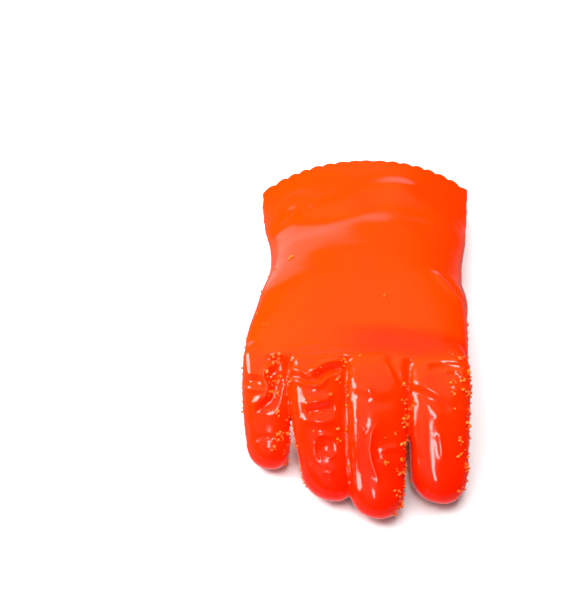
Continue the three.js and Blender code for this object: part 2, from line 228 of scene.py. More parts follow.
def thumbRings(grow, along, nose, angles):
    width, thickness = glove["thumbWidth"], glove["thumbThickness"]
    rest = glove["thumbLift"] + thickness / 2
    rootHeight = glove["thumbRoot"] * glove["knuckleHeight"]
    full, step = glove["thumbFullness"], glove["thumbStep"]

    def middle(share):
        x, y, lift, wide, thick = thumbAt(share)
        z = rest + (rootHeight - rest) * lift
        return np.array([x * glove["knuckleWidth"], y * glove["handLength"], z]), wide, thick

    length = np.linalg.norm(middle(1)[0] - middle(0)[0])
    noseLength = glove["noseShare"] * width
    rings = []
    for share, turn in stations(along, nose):
        at = share * (1 - noseLength / length) + (noseLength + grow) / length * math.sin(turn)
        place, wide, thick = middle(at)
        heading = middle(at + step)[0] - middle(at - step)[0]
        heading /= np.hypot(heading[0], heading[1])
        shrink = math.cos(turn)
        half = (wide * width / 2 + grow) * shrink
        rise = (thick * thickness / 2 + grow) * shrink
        px, pz = ovalRing(angles, half, rise, rise, full, full)
        rings.append(np.stack([
            place[0] - heading[1] * px,
            place[1] + heading[0] * px,
            place[2] + pz,
        ], 1))
    return rings


def deselectAll():
    if bpy.context.object and bpy.context.object.mode != "OBJECT":
        bpy.ops.object.mode_set(mode="OBJECT")
    bpy.ops.object.select_all(action="DESELECT")


def makeActive(piece):
    deselectAll()
    piece.select_set(True)
    bpy.context.view_layer.objects.active = piece


def triples(items, key):
    # a vector of each vertex or face
    values = np.empty(len(items) * 3)
    items.foreach_get(key, values)
    return values.reshape(-1, 3)


def coordinates(piece):
    return triples(piece.data.vertices, "co")


def setCoordinates(piece, co):
    piece.data.vertices.foreach_set("co", np.ascontiguousarray(co, float).ravel())
    piece.data.update()


def normals(piece):
    return triples(piece.data.vertices, "normal")


def editFaces(piece, chosen):
    # opens edit mode with the chosen faces selected alone
    makeActive(piece)
    bpy.ops.object.mode_set(mode="EDIT")
    bpy.ops.mesh.select_mode(type="FACE")
    bpy.ops.mesh.select_all(action="DESELECT")
    bpy.ops.object.mode_set(mode="OBJECT")
    piece.data.polygons.foreach_set("select", chosen)
    bpy.ops.object.mode_set(mode="EDIT")


def applyModifier(piece, kind, **settings):
    makeActive(piece)
    modifier = piece.modifiers.new(kind.lower(), kind)
    for key, value in settings.items():
        setattr(modifier, key, value)
    bpy.ops.object.modifier_apply(modifier=modifier.name)


def tubeFromSphere(name, ringsOf, around, along, nose, grow, floorAt):
    # a sphere whose rings are pulled onto the table's sections, its poles closing both ends
    deselectAll()
    count = along + nose + 1
    bpy.ops.mesh.primitive_uv_sphere_add(segments=around, ring_count=count, radius=1)
    tube = bpy.context.object
    tube.name = name
    ball = coordinates(tube)
    angles = 2 * math.pi * np.arange(around) / around
    rings = ringsOf(grow, along, nose, angles)
    rows = np.stack([np.tile(rings[0].mean(0), (around, 1))] + rings)
    ring = np.rint(np.arccos(np.clip(ball[:, 2], -1, 1)) / math.pi * count).astype(int)
    turned = np.arctan2(ball[:, 1], ball[:, 0]) / (2 * math.pi)
    segment = np.rint(turned * around).astype(int) % around
    place = rows[ring, segment]
    place[:, 2] = np.maximum(place[:, 2], floorAt)
    setCoordinates(tube, (place + creasePlace) * mm)
    makeActive(tube)
    bpy.ops.object.mode_set(mode="EDIT")
    bpy.ops.mesh.select_all(action="SELECT")
    bpy.ops.mesh.normals_make_consistent(inside=False)
    bpy.ops.object.mode_set(mode="OBJECT")
    return tube


def gloveForm(name, grow, voxel, fine):
    # body, fingers and thumb as closed tubes, fused by a voxel remesh
    floorAt = max(0.0, -grow)

    def closedTube(part, ringsOf, sections, grow):
        around, along, nose = sections
        return tubeFromSphere(part, ringsOf, int(around * fine), int(along * fine), nose, grow, floorAt)

    tubes = [closedTube(name, bodyRings, glove["bodySections"], grow)]
    for finger in fingers:
        def rings(*given, finger=finger):
            return fingerRings(finger, *given)
        tubes.append(closedTube(finger[0], rings, glove["fingerSections"], grow * glove["fingerWall"]))
    tubes.append(closedTube("thumb", thumbRings, glove["thumbSections"], grow))
    deselectAll()
    for tube in tubes:
        tube.select_set(True)
    bpy.context.view_layer.objects.active = tubes[0]
    bpy.ops.object.join()
    form = bpy.context.object
    applyModifier(form, "REMESH", mode="VOXEL", voxel_size=voxel * mm)
    factor, rounds = glove["smoothing"]
    applyModifier(form, "SMOOTH", factor=factor, iterations=rounds)
    return form


# Folds of the lying glove, all on its upper side. A line runs through plan points in mm. A ridge stands
# proud, a groove is sunk, and a fold is raised on the line's left and hollow on its right.
littleFold = [(-53.5, -26), (-49, -22.7), (-45.5, -20), (-45, -16), (-47.5, -12), (-46.5, -9), (-41, -4)]

folds = {
    "steps": 6,                          # points of the smooth line between two given ones
    "taper": 0.22,                       # share of the line that fades out at each end
    "endShare": 0.25,                    # what is left of a ridge or groove at its ends
    "reach": 3.2,                        # how far a line moves the skin, in its widths
    "fineWidth": 3.2,                    # lines up to this width get a finer mesh
    "fineReach": 2.0,                    # how far from the line, in its widths
    "fineMargin": 0.8,                   # and mm more
    "dentHeight": 1.2,                   # a dent's reach in z, as a share of its longer half
    "upperSide": 2.5,                    # how fast the dents end past the side edges
    "deepest": 2.6,                      # mm, so that no fold comes through the wall
    "slack": [(24.0, 0.5), (9.0, 0.1)],  # soft waves of the slack skin: mm between them, mm high
    "lines": [
        # kind, width, height, points
        # crease across the finger roots
        ("groove", 1.1, 0.55, [(-39, -1), (-28, -2), (-19, -1), (-7, 1), (3, 1), (12, 2.5), (19, 2)]),
        ("groove", 1.3, 0.45, [(27, 0.5), (36, -1), (46, -3), (58, -3.5)]),
        ("fold", 5.5, 0.85, [(-10, 8), (8, 10), (26, 9.5), (44, 6.5), (62, 3)]),
        ("ridge", 1.6, 0.6, [(-34, 2), (-26, 4.5), (-16, 6)]),
        # little finger: an S-shaped fold beside a deep hollow, and two ridges across
        ("fold", 1.7, 1.5, littleFold),
        ("ridge", 1.1, 0.5, littleFold),
        ("groove", 3.0, 2.2, [(-41.5, -7), (-41.5, -16), (-43.7, -22), (-49, -26)]),
        ("ridge", 1.5, 0.6, [(-58.5, -9.5), (-54, -10.5), (-49.5, -11)]),
        ("groove", 1.7, 1.3, [(-60, -11.8), (-54, -13.5), (-49.5, -14.5)]),
        ("ridge", 1.5, 0.7, [(-59.5, -14.5), (-53, -17.7), (-47, -18)]),
        ("ridge", 1.3, 0.5, [(-43.5, -23), (-46, -26.5)]),
        ("ridge", 2.2, 0.5, [(-57.5, -24), (-55.5, -29), (-52, -35)]),
        ("groove", 1.3, 0.5, [(-52, -37.5), (-47, -36.8), (-42, -37)]),
        # ring finger: a bent double fold, a fold across and a square dent with raised rims
        ("ridge", 1.6, 0.7, [(-35.5, -8), (-31, -11.5), (-25, -14.5)]),
        ("groove", 1.6, 1.4, [(-34, -12.6), (-27, -16.7), (-20.5, -17.8)]),
        ("fold", 2.0, 2.0, [(-24, -15.5), (-19.3, -12.3), (-15.5, -9.5), (-10.5, -7.6), (-6.5, -8)]),
        ("ridge", 1.4, 0.9, [(-37, -13.3), (-32, -15.8), (-27, -19), (-21, -20.2), (-17.5, -19),
                             (-15, -15.2), (-11, -12.8)]),
        ("fold", 2.2, 1.4, [(-27, -31.2), (-18.4, -29.6), (-10, -26.4)]),
        ("ridge", 2.3, 1.1, [(-27.5, -35.5), (-17.4, -37.2), (-8.5, -34.5)]),
        ("ridge", 2.2, 0.45, [(-31, -26), (-31.3, -31), (-29, -39), (-26, -48), (-22, -55)]),
        ("ridge", 1.5, 0.6, [(-20.5, -43.6), (-15, -42.6), (-9, -42.9)]),
        ("ridge", 1.5, 0.6, [(-20.3, -44), (-20, -50), (-17.5, -55.5)]),
        ("ridge", 1.5, 0.5, [(-16.5, -51.5), (-12, -52.2), (-8, -50)]),
        ("ridge", 1.9, 0.5, [(-15, -59), (-9, -59.5)]),
        # middle finger: a furrow down from the root, bands along it and a dent on its right side
        ("groove", 2.1, 1.3, [(18.5, -5), (20.5, -8), (23, -13), (25, -19)]),
        ("ridge", 1.2, 0.5, [(15.5, -5.5), (17.5, -9), (19.5, -14)]),
        ("fold", 3.0, 0.45, [(-3, -20.5), (8, -26), (22, -24.5)]),
        ("ridge", 2.5, 0.55, [(0.2, -28), (1, -37), (2.7, -47), (3.8, -57)]),
        ("ridge", 1.5, 0.45, [(1.7, -36), (4, -40), (6.3, -44)]),
        ("ridge", 1.4, 0.8, [(12.5, -39), (9.7, -43.8), (8.9, -51), (9.7, -56), (12, -61), (14, -65)]),
        ("ridge", 1.7, 0.8, [(15, -50.5), (19, -49), (24, -47.6)]),
        ("groove", 2.6, 0.8, [(14, -43), (12.5, -50), (14, -57)]),
        # index finger: a deep dent beside the root under an arched edge, and a fold running down across
        ("fold", 2.1, 0.8, [(37, -8.5), (41.5, -4.6), (50, -3.8), (58, -4.5)]),
        ("ridge", 1.4, 0.8, [(45.5, -8), (51, -7), (56, -7.6), (57.3, -11)]),
        ("ridge", 1.7, 0.8, [(50, -14.4), (54, -16.2), (58.5, -17)]),
        ("fold", 2.4, 0.75, [(29, -15), (35.3, -19.3), (43, -22.8), (48.5, -25), (54, -27.5)]),
        ("ridge", 2.4, 0.6, [(53.5, -25.6), (60, -26.4)]),
        ("ridge", 3.0, 0.5, [(28.5, -20), (30, -28), (31.5, -37), (34, -44), (34, -50)]),
        ("ridge", 2.0, 0.5, [(44.8, -38), (46, -44), (47, -51)]),
        # thumb side of the back, and the wrist
        ("fold", 3.0, 1.0, [(65, 44), (60, 54.5), (53, 64.5), (45, 79)]),
        ("ridge", 3.0, 0.35, [(6, 141), (7, 150), (12, 162)]),
    ],
    "dents": [
        # x, y, half width, half length, depth (negative stands proud)
        # fingers and their roots
        (-42.5, -2.6, 2.2, 2.4, 1.3),
        (-47.5, 0.4, 3.0, 2.6, -0.6),
        (-14.2, -48, 4.6, 4.6, 1.4),
        (19.5, -3.6, 3.6, 2.8, 1.7),
        (14.5, -0.8, 2.0, 1.6, -0.4),
        (24.2, -1.6, 2.2, 1.8, -0.4),
        (-1.2, -16, 2.6, 3.0, -0.5),
        (7, -22, 2.8, 2.6, -0.5),
        (18.2, -46, 5.0, 9.0, 1.3),
        (36, -13.5, 3.2, 3.0, -0.6),
        (49, -10.5, 9.0, 5.5, 1.8),
        (44.2, -32, 3.0, 3.0, -0.45),
        # cuff: two shallow hollows with a slack band between them, and puckers at the little finger's side
        (-22, 134, 17, 11, 2.4),
        (-47, 141, 10, 9, 1.9),
        (9, 149, 10, 13, 2.6),
        (7, 124, 15, 11, -1.3),
        (38, 146, 13, 11, 1.9),
        (23, 167, 14, 11, -3.2),
        (-50, 148, 3.2, 2.8, -0.7),
        (-44, 154, 2.6, 3.6, -0.7),
        (-37, 148, 2.6, 3.4, -0.55),
        (-31, 148.5, 2.6, 3.4, -0.5),
        (-47, 143, 6.0, 4.0, 0.7),
        (64, 152, 2.2, 3.0, -0.5),
    ],
}


def dropOn(form, x, y):
    # where a plan point in mm lands on the form's upper side, and the normal there
    above = Vector(((x + creasePlace[0]) * mm, (y + creasePlace[1]) * mm, glove["rayHeight"]))
    hit, point, normal, face = form.ray_cast(above, Vector((0, 0, -1)))
    return hit, point, normal


def surfacePoint(form, x, y):
    hit, point, normal = dropOn(form, x, y)
    return np.array(point) / mm if hit else None


def smoothLine(form, points):
    # the line in the plan as a curve through its points, laid on the form
    curve = smoothTable([(i, x, y) for i, (x, y) in enumerate(points)])
    count = folds["steps"] * (len(points) - 1) + 1
    places = [surfacePoint(form, *curve(i / folds["steps"])) for i in range(count)]
    return np.array([place for place in places if place is not None])


def alongLine(co, normal, line):
    # each point's distance from the line, the side that it lies on and its share of the length
    steps = np.diff(line, axis=0)
    lengths = np.linalg.norm(steps, axis=1)
    before = np.concatenate([[0], np.cumsum(lengths)])
    nearest = np.full(len(co), np.inf)
    side = np.zeros(len(co))
    share = np.zeros(len(co))
    for i, step in enumerate(steps):
        part = np.clip((co - line[i]) @ step / lengths[i] ** 2, 0, 1)
        away = co - line[i] - part[:, None] * step
        distance = np.linalg.norm(away, axis=1)
        near = distance < nearest
        nearest[near] = distance[near]
        turn = np.einsum("ij,ij->i", np.cross(step, away), normal)
        side[near] = np.sign(turn[near])
        share[near] = (before[i] + part[near] * lengths[i]) / before[-1]
    return nearest, side, share


def waver(places, grain):
    # soft random waves, grain apart
    return np.array([noise.noise(Vector(place) / grain) for place in places])


def refineFolds(form, lines):
    # subdivides the faces along the narrow folds
    centres = triples(form.data.polygons, "center") / mm
    chosen = np.zeros(len(centres), bool)
    for (kind, width, height, points), line in zip(folds["lines"], lines):
        if width > folds["fineWidth"]:
            continue
        reach = folds["fineReach"] * width + folds["fineMargin"]
        box = np.all((centres > line.min(0) - reach) & (centres < line.max(0) + reach), 1)
        if box.any():
            near = alongLine(centres[box], np.zeros((box.sum(), 3)), line)[0] < reach
            chosen[np.flatnonzero(box)[near]] = True
    editFaces(form, chosen)
    bpy.ops.mesh.subdivide(number_cuts=1, smoothness=0)
    bpy.ops.object.mode_set(mode="OBJECT")


def pressFolds(form):
    # moves the form's vertices along their normals
    lines = [smoothLine(form, points) for kind, width, height, points in folds["lines"]]
    centres = [surfacePoint(form, x, y) for x, y, wide, length, depth in folds["dents"]]
    ends = folds["endShare"]
    refineFolds(form, lines)
    co, normal = coordinates(form) / mm, normals(form)
    push = np.zeros(len(co))
    for (kind, width, height, points), line in zip(folds["lines"], lines):
        reach = folds["reach"] * width
        box = np.flatnonzero(np.all((co > line.min(0) - reach) & (co < line.max(0) + reach), 1))
        distance, side, share = alongLine(co[box], normal[box], line)
        u = distance / width
        fade = np.clip(np.minimum(share, 1 - share) / folds["taper"], 0, 1)
        fade = fade * fade * (3 - 2 * fade)
        if kind == "fold":
            push[box] += height * side * u * np.exp(0.5 - 0.5 * u * u) * fade
        else:
            raised = height if kind == "ridge" else -height
            push[box] += raised * np.exp(-u * u) * (ends + (1 - ends) * fade)
    upper = np.clip(folds["upperSide"] * normal[:, 2] + 0.5, 0, 1)
    for (x, y, wide, length, depth), centre in zip(folds["dents"], centres):
        away = co - centre
        tall = folds["dentHeight"] * max(wide, length)
        u = (away[:, 0] / wide) ** 2 + (away[:, 1] / length) ** 2 + (away[:, 2] / tall) ** 2
        push -= depth * np.exp(-u) * upper
    for grain, height in folds["slack"]:
        push += height * waver(co, grain)
    deepest = folds["deepest"]
    push = np.where(push < 0, deepest * np.tanh(push / deepest), push)
    setCoordinates(form, (co + push[:, None] * normal) * mm)


def keepWall(inside, outside, least):
    # draws the inner form in wherever a fold would come through it
    faces = [p.vertices for p in outside.data.polygons]
    skin = BVHTree.FromPolygons([v.co for v in outside.data.vertices], faces)
    for vertex in inside.data.vertices:
        near, normal, face, distance = skin.find_nearest(vertex.co)
        depth = (near - vertex.co).dot(normal) / mm
        if depth < least:
            vertex.co = near - normal * least * mm


shell = gloveForm("pvc_glove", 0.0, glove["outerVoxel"], 1.0)
print("outer form", len(shell.data.vertices))
inner = gloveForm("inside", -glove["wall"], glove["innerVoxel"], glove["innerSections"])
print("inner form", len(inner.data.vertices))
pressFolds(shell)
keepWall(inner, shell, glove["leastWall"])
print("folds pressed", len(shell.data.vertices))


# Scallops of the trimmed rim: crests between these cut places, in mm across, hand cut and uneven.
rim = {
    "cuts": [-78, -66, -57, -49, -41.5, -34.5, -26, -18, -9, -1.5, 7, 16.5, 24.5, 33, 41, 48.5, 57, 65, 78],
    "depth": 2.6,
    "power": 0.8,    # below 1 the scallops are fuller and the cuts between them sharper
    "calm": 0.4,     # share of the depth at the middle of the back, where the rim is calmer
    "calmReach": 38.0,
    "across": 170.0,  # the cutter's width, its underside and its height
    "bottom": -20.0,
    "height": 90.0,
    "steps": 260,
}


def trimRim(piece):
    # cuts off all past a scalloped line
    deselectAll()
    bpy.ops.mesh.primitive_grid_add(x_subdivisions=rim["steps"], y_subdivisions=1, size=1)
    cutter = bpy.context.object
    cutter.name = "rim_cutter"
    co = coordinates(cutter)
    x = co[:, 0] * rim["across"]
    cuts = np.array(rim["cuts"], float)
    slot = np.clip(np.searchsorted(cuts, x, side="right") - 1, 0, len(cuts) - 2)
    part = np.clip((x - cuts[slot]) / (cuts[slot + 1] - cuts[slot]), 0, 1)
    calm = rim["calm"] + (1 - rim["calm"]) * np.clip(np.abs(x) / rim["calmReach"], 0, 1)
    wave = rim["depth"] * calm * (np.abs(np.sin(math.pi * part)) ** rim["power"] - 1)
    near = co[:, 1] < 0
    y = np.where(near, glove["handLength"] + wave, glove["handLength"] + 4 * glove["pastRim"])
    flat = np.stack([x, y, np.full_like(x, rim["bottom"])], 1)
    setCoordinates(cutter, (flat + creasePlace) * mm)
    applyModifier(cutter, "SOLIDIFY", thickness=rim["height"] * mm, offset=1)
    applyModifier(piece, "BOOLEAN", object=cutter, operation="DIFFERENCE", solver="MANIFOLD")
    bpy.data.objects.remove(cutter)


def coarserBelow(piece):
    # fewer faces on the underside and the inner ceiling alone, so that the upper side keeps its folds
    group = piece.vertex_groups.new(name="hidden")
    hidden = np.flatnonzero(normals(piece)[:, 2] < glove["hiddenNormal"])
    group.add(hidden.tolist(), 1, "REPLACE")
    applyModifier(piece, "DECIMATE", ratio=glove["keptShare"], vertex_group="hidden", vertex_group_factor=10)
    piece.vertex_groups.remove(piece.vertex_groups["hidden"])


# Gripping side: crumbs of PVC on a rough skin of the same, thinning out up the sides of the fingers.
crumb = {
    "shapes": 8,
    "corners": (0.62, 1.3),  # how far each corner of a crumb is pushed, as shares of its radius
    "stretch": (0.7, 1.2),   # and how far it is drawn out or pressed
    "size": (1.0, 2.3),      # mm across
    "smallness": 1.6,        # above 1 there are more small crumbs than large ones
    "spacing": 1.3,          # mm between crumbs in the full coat
    "tries": 3.0,            # crumbs that fall for each that has room
    "thinning": 1.5,         # how soon they thin out towards the coat's edge
    "sink": 0.22,            # share of a crumb that is buried
    "flatness": 0.85,        # a crumb's mean height, as a share of its width
    "skinLift": (0.1, 0.9),  # mm of the skin over the shell
    "skinDepth": 0.8,        # mm that it reaches into the shell's wall
    "skinGrain": 2.2,        # mm between its lumps
    "skinSwing": 1.2,
    "skinEdge": 0.35,  # share of the full coat at which the skin ends
    # edge of the coat: where it is, over how many mm it fades and what share of edgeWaver it wanders
    "edgeWaver": 5.0,                 # mm
    "edgeGrain": 9.0,                 # mm between its waves
    "side": (-0.3, 0.3, 0.03),        # on the sides, as z of the normals
    "heel": (84.0, 6.0),              # at the heel of the hand
    "tip": (11.0, 4.0, 0.5),          # the smooth end of each finger
    "thumb": (14.0, 69.0, 3.0, 0.6),  # both its ends on the thumb
    "fingerLine": -3.0,               # y between the palm's crumbs and the fingers'
    "thumbTop": 14.5,                 # the thumb lies below this height, between these y and right of this x
    "thumbEnds": (-8.0, 75.0),
    "thumbSide": 5.0,
}


def surfaceOf(form):
    # corners, outward normals and areas of the form's triangles, in mm on the glove's own plan
    mesh = form.data
    mesh.calc_loop_triangles()
    index = np.empty(len(mesh.loop_triangles) * 3, int)
    mesh.loop_triangles.foreach_get("vertices", index)
    corner = (coordinates(form) / mm - creasePlace)[index.reshape(-1, 3)]
    cross = np.cross(corner[:, 1] - corner[:, 0], corner[:, 2] - corner[:, 0])
    double = np.linalg.norm(cross, axis=1)
    return corner, cross / np.maximum(double, 1e-9)[:, None], double / 2


def isThumb(place):
    low, high = crumb["thumbEnds"]
    x, y, z = place.T
    return (z < crumb["thumbTop"]) & (y < high) & (y > low) & (x > crumb["thumbSide"])


def tipOf(place):
    # the end in y of the finger that each place is on
    ends = np.zeros(len(place))
    nearest = np.full(len(place), np.inf)
    for name, reach, width, rootX, tipX, rootLift, thick in fingers:
        lean = np.clip(-place[:, 1] / (reach * glove["fingerReach"]), 0, 1)
        across = np.abs(place[:, 0] - (rootX + (tipX - rootX) * lean) * glove["knuckleWidth"])
        near = across / width < nearest
        nearest[near] = (across / width)[near]
        ends[near] = -reach * glove["fingerReach"]
    return ends


def coatOf(place, normal):
    # 1 under the full coat, 0 on the smooth PVC
    edge = crumb["edgeWaver"] * waver(place, crumb["edgeGrain"])
    at, fade, wander = crumb["side"]
    side = np.clip((at - normal[:, 2] + wander * edge) / fade, 0, 1)
    at, fade = crumb["heel"]
    heel = np.clip((at + edge - place[:, 1]) / fade, 0, 1)
    at, fade, wander = crumb["tip"]
    tip = np.clip((place[:, 1] - tipOf(place) - at - wander * edge) / fade, 0, 1)
    start, end, fade, wander = crumb["thumb"]
    thumb = np.clip(np.minimum(place[:, 1] - start - wander * edge, end - place[:, 1]) / fade, 0, 1)
    return side * np.where(isThumb(place), thumb, heel * tip)


def scatter(form, amount, spacing, seed):
    # places and normals over the form, amount giving crumbs for each square mm
    draw = np.random.default_rng(seed)
    corner, normal, area = surfaceOf(form)
    hopes = area * amount(corner.mean(1), normal)
    count = draw.poisson(hopes)
    face = np.repeat(np.arange(len(count)), count)
    draw.shuffle(face)
    a, b = draw.random(len(face)), draw.random(len(face))
    over = a + b > 1
    a[over], b[over] = 1 - a[over], 1 - b[over]
    place = (corner[face, 0] + a[:, None] * (corner[face, 1] - corner[face, 0])
             + b[:, None] * (corner[face, 2] - corner[face, 0]))
    kept, cells = [], {}
    for i, point in enumerate(place):
        cell = tuple(np.floor(point / spacing).astype(int))
        around = [(cell[0] + dx, cell[1] + dy, cell[2] + dz)
                  for dx in (-1, 0, 1) for dy in (-1, 0, 1) for dz in (-1, 0, 1)]
        if all(np.sum((place[j] - point) ** 2) > spacing ** 2 for c in around for j in cells.get(c, ())):
            cells.setdefault(cell, []).append(i)
            kept.append(i)
    return place[kept], normal[face[kept]]


def crumbShapes(seed):
    # a few broken crumbs, each an ico sphere with its corners pushed in and out
    draw = np.random.default_rng(seed)
    shapes = []
    for i in range(crumb["shapes"]):
        deselectAll()
        bpy.ops.mesh.primitive_ico_sphere_add(subdivisions=1, radius=0.5)
        ball = bpy.context.object
        co = coordinates(ball) * draw.uniform(*crumb["corners"], (len(ball.data.vertices), 1))
        co *= draw.uniform(*crumb["stretch"], 3)
        shapes.append((co, np.array([p.vertices[:] for p in ball.data.polygons])))
        bpy.data.objects.remove(ball)
    return shapes


def turnsOf(normal, draw):
    # a frame for each crumb: its third axis along the normal, turned at random round it
    helper = draw.normal(size=normal.shape)
    first = np.cross(helper, normal)
    first /= np.linalg.norm(first, axis=1)[:, None]
    return np.stack([first, np.cross(normal, first), normal], 2)


def crumbMesh(name, place, normal, seed, size):
    # one mesh with a crumb at each place
    draw = np.random.default_rng(seed)
    shapes = crumbShapes(seed)
    turns = turnsOf(normal, draw)
    across = size[0] + (size[1] - size[0]) * draw.random(len(place)) ** crumb["smallness"]
    kinds = draw.integers(0, len(shapes), len(place))
    verts, faces, start = [], [], 0
    for kind, (co, index) in enumerate(shapes):
        chosen = np.flatnonzero(kinds == kind)
        body = np.einsum("nij,vj->nvi", turns[chosen], co) * across[chosen, None, None]
        lift = (0.5 - crumb["sink"]) * across[chosen] * crumb["flatness"]
        body += (place[chosen] + normal[chosen] * lift[:, None])[:, None]
        verts.append(body.reshape(-1, 3))
        first = start + np.arange(len(chosen))[:, None, None] * len(co)
        faces.append((index[None] + first).reshape(-1, 3))
        start += len(chosen) * len(co)
    mesh = bpy.data.meshes.new(name)
    co = (np.concatenate(verts) + creasePlace) * mm
    mesh.from_pydata(co.tolist(), [], np.concatenate(faces).tolist())
    piece = bpy.data.objects.new(name, mesh)
    bpy.context.collection.objects.link(piece)
    return piece


def coatSkin(name, form, chooses):
    # the form's faces under the coat, lifted into lumps and thickened into the wall
    makeActive(form)
    bpy.ops.object.duplicate()
    skin = bpy.context.object
    skin.name = name
    place = triples(skin.data.polygons, "center") / mm - creasePlace
    coated = coatOf(place, triples(skin.data.polygons, "normal")) > crumb["skinEdge"]
    editFaces(skin, ~(chooses(place) & coated))
    bpy.ops.mesh.delete(type="FACE")
    bpy.ops.object.mode_set(mode="OBJECT")
    co, normal = coordinates(skin), normals(skin)
    low, high = crumb["skinLift"]
    lumps = np.clip(0.5 + crumb["skinSwing"] * waver(co / mm, crumb["skinGrain"]), 0, 1)
    lift = low + (high - low) * lumps
    setCoordinates(skin, co + normal * lift[:, None] * mm)
    applyModifier(skin, "SOLIDIFY", thickness=(crumb["skinDepth"] + high) * mm, offset=-1)
    return skin


def joined(name, pieces):
    deselectAll()
    for piece in pieces:
        piece.select_set(True)
    bpy.context.view_layer.objects.active = pieces[0]
    bpy.ops.object.join()
    result = bpy.context.object
    result.name = name
    return result


def pressedFlat(piece):
    # nothing of a piece lies under the surface that the glove rests on
    co = coordinates(piece)
    co[:, 2] = np.maximum(co[:, 2], 0)
    setCoordinates(piece, co)
    return piece


def isPalm(place):
    return ~isThumb(place) & (place[:, 1] > crumb["fingerLine"])


def isFinger(place):
    return ~isThumb(place) & (place[:, 1] <= crumb["fingerLine"])


def gritCoat(name, form, chooses, seed):
    def amount(place, normal):
        full = crumb["tries"] / crumb["spacing"] ** 2
        return full * chooses(place) * coatOf(place, normal) ** crumb["thinning"]

    place, normal = scatter(form, amount, crumb["spacing"], seed)
    grains = crumbMesh(name, place, normal, seed, crumb["size"])
    return pressedFlat(joined(name, [coatSkin(name + "_skin", form, chooses), grains]))


# Loose crumbs that stuck outside the coat, on the walls of the fingers and in clusters on the upper side.
loose = {
    "size": (0.9, 2.4),  # mm across
    "spacing": 1.2,      # mm between them on the walls
    "rightWall": 0.12,   # crumbs for each square mm of a finger's right wall
    "leftWall": 0.004,
    "wallNormal": (-0.35, 0.6),  # z of the normals on a wall
    "wallFacing": 0.5,           # the least x of its normals
    "wallEnds": (-4.0, 3.0),     # y at the root, and mm short of the tip
    "patches": (0.9, 2.2, 6.0),  # mean and swing of the amount, and mm between the patches
    "outer": 0.02,               # crumbs for each square mm of the hand's outer sides
    "outerSide": 58.0,           # which are further out than this x, between these y and below this slope
    "outerEnds": (-10.0, 60.0),
    "outerNormal": 0.35,
    "lowest": 2.0,  # mm above the surface
    # loose crumbs that stuck to the upper side: x, y, spread, count
    "clusters": [
        # between the fingers and at their roots
        (-42, -3, 3, 9), (-41.5, -10, 2.2, 10), (-41, -17, 1.8, 6), (-41, -26, 2, 6),
        (-39.5, -36, 2.4, 20), (-42, -42, 1.5, 3), (-46, -10, 1, 1), (-45, -14, 1, 1), (-49, -6, 1, 1),
        (-34, -14, 1.5, 3), (-9, -14, 2.5, 8), (-6.5, -4, 1.5, 3), (-13, -24, 1, 1), (-8, -13, 1.6, 3),
        (-18, -33, 1, 1), (-8.5, -38, 1.2, 2), (-7, -44, 1.2, 3), (-21, -41, 1, 1),
        (-4, -16, 1, 2), (-3.5, -26, 1.2, 2), (-3, -38, 1.6, 3), (-1, -55, 1.4, 3), (2, -2, 1.5, 2),
        (17, -43, 1.2, 1), (22, -42, 1.2, 2), (18, -56, 1.2, 2), (23, -57, 1.2, 2),
        (27, -16, 1.4, 4), (26, -25, 1.6, 5), (26.5, -34, 1.6, 5), (26, -45, 1.8, 5),
        (25, -58, 2, 5), (24, -68, 2, 4),
        (31, -25, 2.2, 16), (52, -13, 1.8, 6), (57, -12, 1.6, 5), (58, -16, 1.6, 4), (52, -20, 1.2, 2),
        (53, -27, 1.2, 2), (60, -24, 1.6, 4), (55.5, -40, 1.6, 4), (56, -46, 1.6, 5),
        (50, 4, 2, 3), (56, 1, 2, 4),
        (60, -6, 1.8, 5), (36, -63, 2, 3), (59, -50, 1.6, 5),
        # wrist and back
        (-49, 84, 1.6, 3), (-41, 90, 1.4, 3), (-56, 62, 2, 3), (-54, 82, 1.2, 2),
        (-57, 35, 1.4, 2), (-50, 22, 1.4, 2),
        (14, 45, 1, 1), (63, 60, 1.6, 2), (-62, 50, 2, 3),
    ],
}


def wallAmount(place, normal):
    # loose crumbs for each square mm of the sides
    root, short = loose["wallEnds"]
    low, high = loose["wallNormal"]
    mean, swing, grain = loose["patches"]
    onFinger = (place[:, 1] < root) & (place[:, 1] > tipOf(place) + short)
    upright = (normal[:, 2] > low) & (normal[:, 2] < high)
    right = (normal[:, 0] > loose["wallFacing"]) * loose["rightWall"]
    left = (normal[:, 0] < -loose["wallFacing"]) * loose["leftWall"]
    patchy = np.clip(mean + swing * waver(place, grain), 0, swing)
    start, end = loose["outerEnds"]
    outer = (np.abs(place[:, 0]) > loose["outerSide"]) & (place[:, 1] > start) & (place[:, 1] < end)
    outer &= normal[:, 2] < loose["outerNormal"]
    return onFinger * upright * (right + left) * patchy + outer * loose["outer"]


def looseCrumbs(name, form, seed):
    place, normal = scatter(form, wallAmount, loose["spacing"], seed)
    draw = np.random.default_rng(seed + 1)
    spots, directions = [], []
    for x, y, spread, count in loose["clusters"]:
        for i in range(count):
            dx, dy = draw.normal(0, 0.5 * spread, 2)
            hit, point, toward = dropOn(form, x + dx, y + dy)
            if hit and point.z > loose["lowest"] * mm:
                spots.append(np.array(point) / mm - creasePlace)
                directions.append(np.array(toward))
    place = np.concatenate([place, np.array(spots)])
    normal = np.concatenate([normal, np.array(directions)])
    return pressedFlat(crumbMesh(name, place, normal, seed, loose["size"]))


